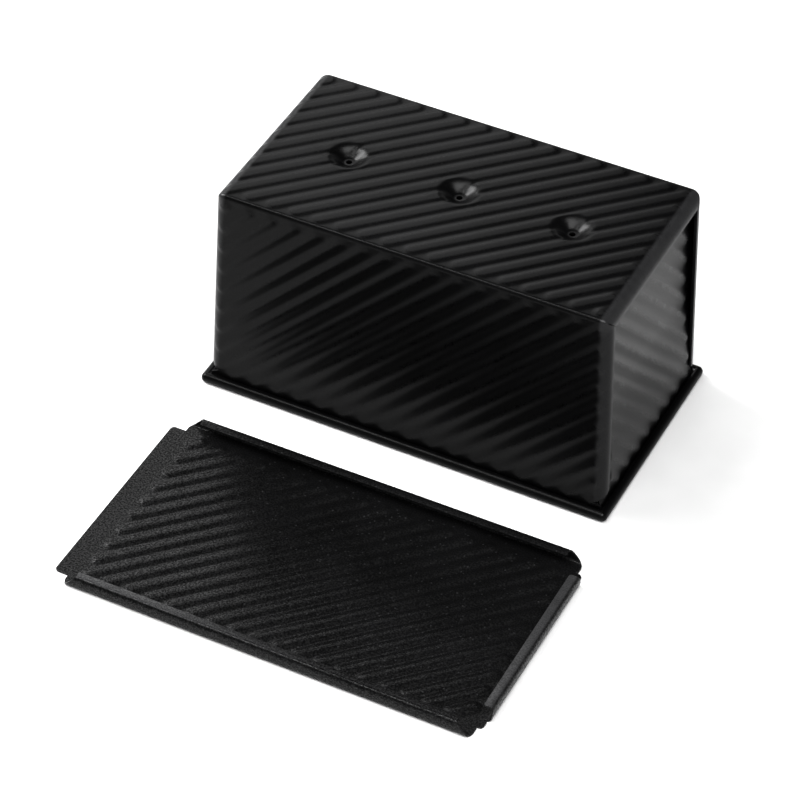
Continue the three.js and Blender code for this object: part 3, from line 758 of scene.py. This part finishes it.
CLOUDS_PER_METRE, SPECK_SPACING = 28.0, 0.55
coat_grain, into, out = new_group(
    "coat grain", [("Grain per metre", 2600.0), ("Speck share", 0.05)], ["Grain", "Cloud", "Speck"])
place = coat_grain.nodes.new("ShaderNodeTexCoord").outputs["Object"]


def noise(tree, vector, scale, detail):
    node = tree.nodes.new("ShaderNodeTexNoise")
    node.inputs["Detail"].default_value = detail
    tree.links.new(vector, node.inputs["Vector"])
    if isinstance(scale, (int, float)):
        node.inputs["Scale"].default_value = scale
    else:
        tree.links.new(scale, node.inputs["Scale"])
    return node.outputs[0]


fine = noise(coat_grain, place, into.outputs["Grain per metre"], 2)
coat_grain.links.new(fine, out.inputs["Grain"])
coat_grain.links.new(noise(coat_grain, place, CLOUDS_PER_METRE, 3), out.inputs["Cloud"])
cells = coat_grain.nodes.new("ShaderNodeTexVoronoi")
coat_grain.links.new(place, cells.inputs["Vector"])
cell_scale = math_node(coat_grain, "MULTIPLY", into.outputs["Grain per metre"], SPECK_SPACING)
coat_grain.links.new(cell_scale, cells.inputs["Scale"])
chance = coat_grain.nodes.new("ShaderNodeSeparateColor")
coat_grain.links.new(cells.outputs["Color"], chance.inputs[0])
lucky = math_node(coat_grain, "LESS_THAN", chance.outputs[0], into.outputs["Speck share"])
core = ramp(coat_grain, cells.outputs["Distance"], 0.35, 0.15)
coat_grain.links.new(math_node(coat_grain, "MULTIPLY", lucky, core), out.inputs["Speck"])
print("group", coat_grain.name, len(coat_grain.nodes), "nodes")

# %% [markdown]
# Handling rubs a coated sheet first along its cut edges and on the crests that touch other things. The hems
# and lips get a painted sheen instead: a paler colour where they face the light. The edges could be found by
# a bevel trick in the shader, but the marks stored with the sheets already say where they are, and a coarse
# noise breaks them up.

# %% Rub wear and painted sheen group
PATCHES_PER_METRE, LEAST_SHEEN = 160.0, 0.75
rub_and_sheen, into, out = new_group(
    "rub wear and painted sheen", [("Crest height", 0.06)], ["Edge rub", "Crest rub", "Painted sheen"])


def mark(tree, name):
    node = tree.nodes.new("ShaderNodeAttribute")
    node.attribute_name = name
    return node.outputs["Fac"]


place = rub_and_sheen.nodes.new("ShaderNodeTexCoord").outputs["Object"]
patchy = ramp(rub_and_sheen, noise(rub_and_sheen, place, PATCHES_PER_METRE, 3), 0.3, 0.7)
edge = math_node(rub_and_sheen, "MULTIPLY", mark(rub_and_sheen, "cut_edge"), patchy)
crest = ramp(rub_and_sheen, mark(rub_and_sheen, "crest"), 0.01, into.outputs["Crest height"])
rub_and_sheen.links.new(edge, out.inputs["Edge rub"])
rub_and_sheen.links.new(math_node(rub_and_sheen, "MULTIPLY", crest, patchy), out.inputs["Crest rub"])
# Painted sheen: the hem and lip mark becomes a share of paler colour, as if these parts were lit.
even = ramp(rub_and_sheen, patchy, 0.0, 1.0, LEAST_SHEEN, 1.0)
sheen_share = math_node(rub_and_sheen, "MULTIPLY", mark(rub_and_sheen, "painted_sheen_mark"), even)
rub_and_sheen.links.new(sheen_share, out.inputs["Painted sheen"])
print("group", rub_and_sheen.name, len(rub_and_sheen.nodes), "nodes")

# %% [markdown]
# One recipe serves the pan's satin coat and the lid's coarser inside: a black coat that shifts a little in
# colour with the clouds and specks, turns paler where its edges are rubbed and paler again on the hems and
# lips as a painted sheen, a roughness that grain breaks up and rubbing lowers, and a faint bump from the
# grain. The lid glints like fine sand. Many small bright specks of paint would look flat, so a clear coat
# comes and goes with the grain instead and catches the light.

# %% Coat materials
GRAIN_DEPTH = 0.0002
EDGE_SHARE, CREST_POLISH = 0.5, 0.05
GLINT_FROM, GLINT_TO = 0.42, 0.62
GLINT_ROUGHNESS, GLINT_IOR = 0.3, 1.45


def colour_mix(tree, share, first, second):
    node = tree.nodes.new("ShaderNodeMix")
    node.data_type = "RGBA"
    tree.links.new(share, node.inputs["Factor"])
    for label, value in (("A", first), ("B", second)):
        socket = next(s for s in node.inputs if s.name == label and s.type == "RGBA")
        if isinstance(value, tuple):
            socket.default_value = (*value, 1)
        else:
            tree.links.new(value, socket)
    return next(s for s in node.outputs if s.type == "RGBA")


def coat(name, dark, pale, speck, painted_sheen, grain, share, gloss, bump, ior, glint):
    material = bpy.data.materials.new(name)
    material.use_nodes = True
    tree = material.node_tree
    shader = tree.nodes["Principled BSDF"]
    grains = tree.nodes.new("ShaderNodeGroup")
    grains.node_tree = coat_grain
    grains.inputs["Grain per metre"].default_value = grain
    grains.inputs["Speck share"].default_value = share
    rubs_and_sheen = tree.nodes.new("ShaderNodeGroup")
    rubs_and_sheen.node_tree = rub_and_sheen
    colour = colour_mix(tree, ramp(tree, grains.outputs["Cloud"], 0.3, 0.7), dark, pale)
    colour = colour_mix(tree, grains.outputs["Speck"], colour, speck)
    edge = math_node(tree, "MULTIPLY", rubs_and_sheen.outputs["Edge rub"], EDGE_SHARE)
    colour = colour_mix(tree, edge, colour, speck)
    # Painted sheen: the hems and lips take a paler colour, as if lit.
    colour = colour_mix(tree, rubs_and_sheen.outputs["Painted sheen"], colour, painted_sheen)
    tree.links.new(colour, shader.inputs["Base Color"])
    rough = ramp(tree, grains.outputs["Grain"], 0.3, 0.7, *gloss)
    polish = math_node(tree, "MULTIPLY", rubs_and_sheen.outputs["Crest rub"], CREST_POLISH)
    tree.links.new(math_node(tree, "SUBTRACT", rough, polish), shader.inputs["Roughness"])
    height = tree.nodes.new("ShaderNodeBump")
    height.inputs["Strength"].default_value = bump
    height.inputs["Distance"].default_value = GRAIN_DEPTH
    tree.links.new(grains.outputs["Grain"], height.inputs["Height"])
    tree.links.new(height.outputs["Normal"], shader.inputs["Normal"])
    shader.inputs["IOR"].default_value = ior
    glints = ramp(tree, grains.outputs["Grain"], GLINT_FROM, GLINT_TO, *glint)
    tree.links.new(glints, shader.inputs["Coat Weight"])
    shader.inputs["Coat Roughness"].default_value = GLINT_ROUGHNESS
    shader.inputs["Coat IOR"].default_value = GLINT_IOR
    return material


# The fourth colour of each coat is the painted sheen on hems and lips, a paler tone as if lit.
pan_coat = coat(
    "pan coat", dark=(0.001, 0.001, 0.0011), pale=(0.0025, 0.0025, 0.0028), speck=(0.02, 0.02, 0.021),
    painted_sheen=(0.03, 0.03, 0.031), grain=2600.0, share=0.02, gloss=(0.27, 0.35), bump=0.08, ior=1.29,
    glint=(0.0, 0.12))
lid_coat = coat(
    "lid coat", dark=(0.0036, 0.0036, 0.0037), pale=(0.0065, 0.0065, 0.0068), speck=(0.03, 0.03, 0.031),
    painted_sheen=(0.045, 0.045, 0.046), grain=1250.0, share=0.12, gloss=(0.26, 0.36), bump=0.25, ior=1.2,
    glint=(0.0, 1.0))
for piece, finish in ((pan_body, pan_coat), (right_end, pan_coat), (left_end, pan_coat), (lid, lid_coat)):
    piece.data.materials.append(finish)
print("coats", pan_coat.name, lid_coat.name)

# %% [markdown]
# The wire inside the rim only shows at the roll's open edge and the corners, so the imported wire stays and
# only gets a finish. It is drawn steel, whose tone and roughness change with the same grain group.

# %% Rim wire
wire_steel = bpy.data.materials.new("rim wire steel")
wire_steel.use_nodes = True
tree = wire_steel.node_tree
shader = tree.nodes["Principled BSDF"]
shader.inputs["Metallic"].default_value = 1.0
grains = tree.nodes.new("ShaderNodeGroup")
grains.node_tree = coat_grain
grains.inputs["Grain per metre"].default_value = 3200.0
grains.inputs["Speck share"].default_value = 0.0
clouds = ramp(tree, grains.outputs["Cloud"], 0.3, 0.7)
tone = colour_mix(tree, clouds, (0.30, 0.30, 0.31), (0.46, 0.46, 0.48))
tree.links.new(tone, shader.inputs["Base Color"])
tree.links.new(ramp(tree, grains.outputs["Grain"], 0.3, 0.7, 0.3, 0.45), shader.inputs["Roughness"])
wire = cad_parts["rim_wire"]
wire.data.materials.clear()
wire.data.materials.append(wire_steel)
print("wire finish", wire_steel.name)

# %% [markdown]
# The set stands on a wide sheet of white paper. A bent backdrop would do as well, but the view looks down,
# so the floor fills the picture.

# %% Floor
WIDE, FIBRES_PER_METRE = 6.0, 40.0
floor_mesh = bpy.data.meshes.new("floor")
corners = [(-WIDE, -WIDE, 0), (WIDE, -WIDE, 0), (WIDE, WIDE, 0), (-WIDE, WIDE, 0)]
floor_mesh.from_pydata(corners, [], [(0, 1, 2, 3)])
floor = bpy.data.objects.new("floor", floor_mesh)
scene.collection.objects.link(floor)
paper = bpy.data.materials.new("white paper")
paper.use_nodes = True
tree = paper.node_tree
shader = tree.nodes["Principled BSDF"]
place = tree.nodes.new("ShaderNodeTexCoord").outputs["Object"]
fibre = noise(tree, place, FIBRES_PER_METRE, 2)
shade = colour_mix(tree, ramp(tree, fibre, 0.3, 0.7), (0.60, 0.60, 0.60), (0.62, 0.62, 0.62))
tree.links.new(shade, shader.inputs["Base Color"])
shader.inputs["Roughness"].default_value = 0.9
shader.inputs["Specular IOR Level"].default_value = 0.1
floor_mesh.materials.append(paper)
print("floor", 2 * WIDE, "m wide")

# %% [markdown]
# A black gloss shows mostly what it mirrors. The base mirrors the room behind it, so a soft sheet of light
# stands there, and it is set to the left so that the base darkens to the right. A key on the left lights
# the left hem and the vents' far sides, a small strip overhead draws the line along the front fold, and a
# broad fill in front whitens the floor. A picture of a room could do this, but lamps are easier to
# steer. The world is pale at the horizon and dark overhead, and plain white where the camera sees it.

# %% World
HORIZON, OVERHEAD = 0.33, 0.03
world = bpy.data.worlds.new("white room")
world.use_nodes = True
scene.world = world
tree = world.node_tree
way_up = tree.nodes.new("ShaderNodeSeparateXYZ")
tree.links.new(tree.nodes.new("ShaderNodeTexCoord").outputs["Generated"], way_up.inputs[0])
glow = ramp(tree, way_up.outputs["Z"], 0.1, 0.6, HORIZON, OVERHEAD)
in_view = tree.nodes.new("ShaderNodeLightPath").outputs["Is Camera Ray"]
tree.links.new(math_node(tree, "MAXIMUM", glow, in_view), tree.nodes["Background"].inputs["Strength"])
tree.nodes["Background"].inputs["Color"].default_value = (1, 1, 1, 1)
print("world", world.name, HORIZON, "to", OVERHEAD)

# %% Lamps


def lamp(name, bearing, height_angle, width, height, power, far=1.6):
    bearing, height_angle = math.radians(bearing), math.radians(height_angle)
    level = far * math.cos(height_angle)
    place = Vector((level * math.sin(bearing), level * math.cos(bearing), far * math.sin(height_angle)))
    light = bpy.data.lights.new(name, "AREA")
    light.shape = "RECTANGLE"
    light.size, light.size_y = width, height
    light.energy = power
    holder = bpy.data.objects.new(name, light)
    holder.location = place
    holder.rotation_euler = (-place).to_track_quat("-Z", "Y").to_euler()
    scene.collection.objects.link(holder)


lamp("front fill", bearing=142, height_angle=64, width=1.2, height=1.0, power=16, far=1.4)
lamp("left key", bearing=277, height_angle=36, width=0.6, height=0.9, power=15)
lamp("top strip", bearing=252, height_angle=68, width=0.3, height=0.3, power=2)
lamp("back sheet", bearing=321, height_angle=37, width=1.0, height=0.9, power=2.7)
scene.view_settings.view_transform = "Standard"
scene.view_settings.look = "None"
scene.view_settings.exposure = 1.15
scene.view_settings.gamma = 0.76
